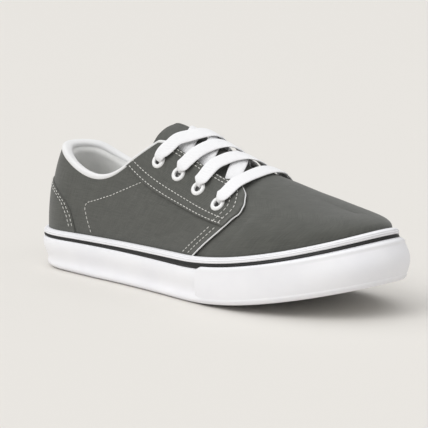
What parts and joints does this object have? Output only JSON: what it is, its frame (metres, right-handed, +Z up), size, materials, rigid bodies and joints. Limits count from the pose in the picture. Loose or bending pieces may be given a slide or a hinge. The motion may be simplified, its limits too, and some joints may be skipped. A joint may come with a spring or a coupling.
{
  "type": "skateboarding shoe",
  "caption": "Low lace-up skateboarding shoe, right foot: hollow grey canvas upper with eyestays, tongue and flat laces on a thick white rubber cupped sole.",
  "frame": {"origin": "bottom centre of the shoe's box, on the floor under the middle of its length and width", "axes": "+X from heel to toe, -Y towards the lateral (outer) side, +Z up"},
  "size_m": [0.301, 0.1092, 0.1116],
  "materials": {
    "tread_rubber": "moulded rubber, matt",
    "midsole_foam": "foamed rubber, matt",
    "white_rubber": "smooth vulcanised rubber, satin",
    "black_rubber": "rubber stripe, satin",
    "grey_canvas": "plain-woven cotton canvas with stitched seams",
    "lining_cloth": "light twill lining",
    "white_cotton": "woven cotton tape and flat braided lace",
    "white_enamel": "white enamelled eyelets, semi-gloss"
  },
  "bodies": {
    "root": {"outsole": "tread_rubber", "midsole": "midsole_foam", "foxing": "white_rubber", "stripe": "black_rubber", "foxing_strip": "white_rubber", "toe_bumper": "white_rubber", "upper": "grey_canvas", "insole": "lining_cloth", "quarters": "grey_canvas", "eyestay_lateral": "grey_canvas", "eyestay_medial": "grey_canvas", "heel_counter": "grey_canvas", "collar_binding": "white_cotton", "tongue": "grey_canvas", "lace_crossing_1": "white_cotton", "lace_crossing_2": "white_cotton", "lace_crossing_3": "white_cotton", "lace_bar": "white_cotton", "eyelet_lateral_1": "white_enamel", "eyelet_lateral_2": "white_enamel", "eyelet_lateral_3": "white_enamel", "eyelet_lateral_4": "white_enamel", "eyelet_medial_1": "white_enamel", "eyelet_medial_2": "white_enamel", "eyelet_medial_3": "white_enamel", "eyelet_medial_4": "white_enamel"}
  },
  "joints": []
}
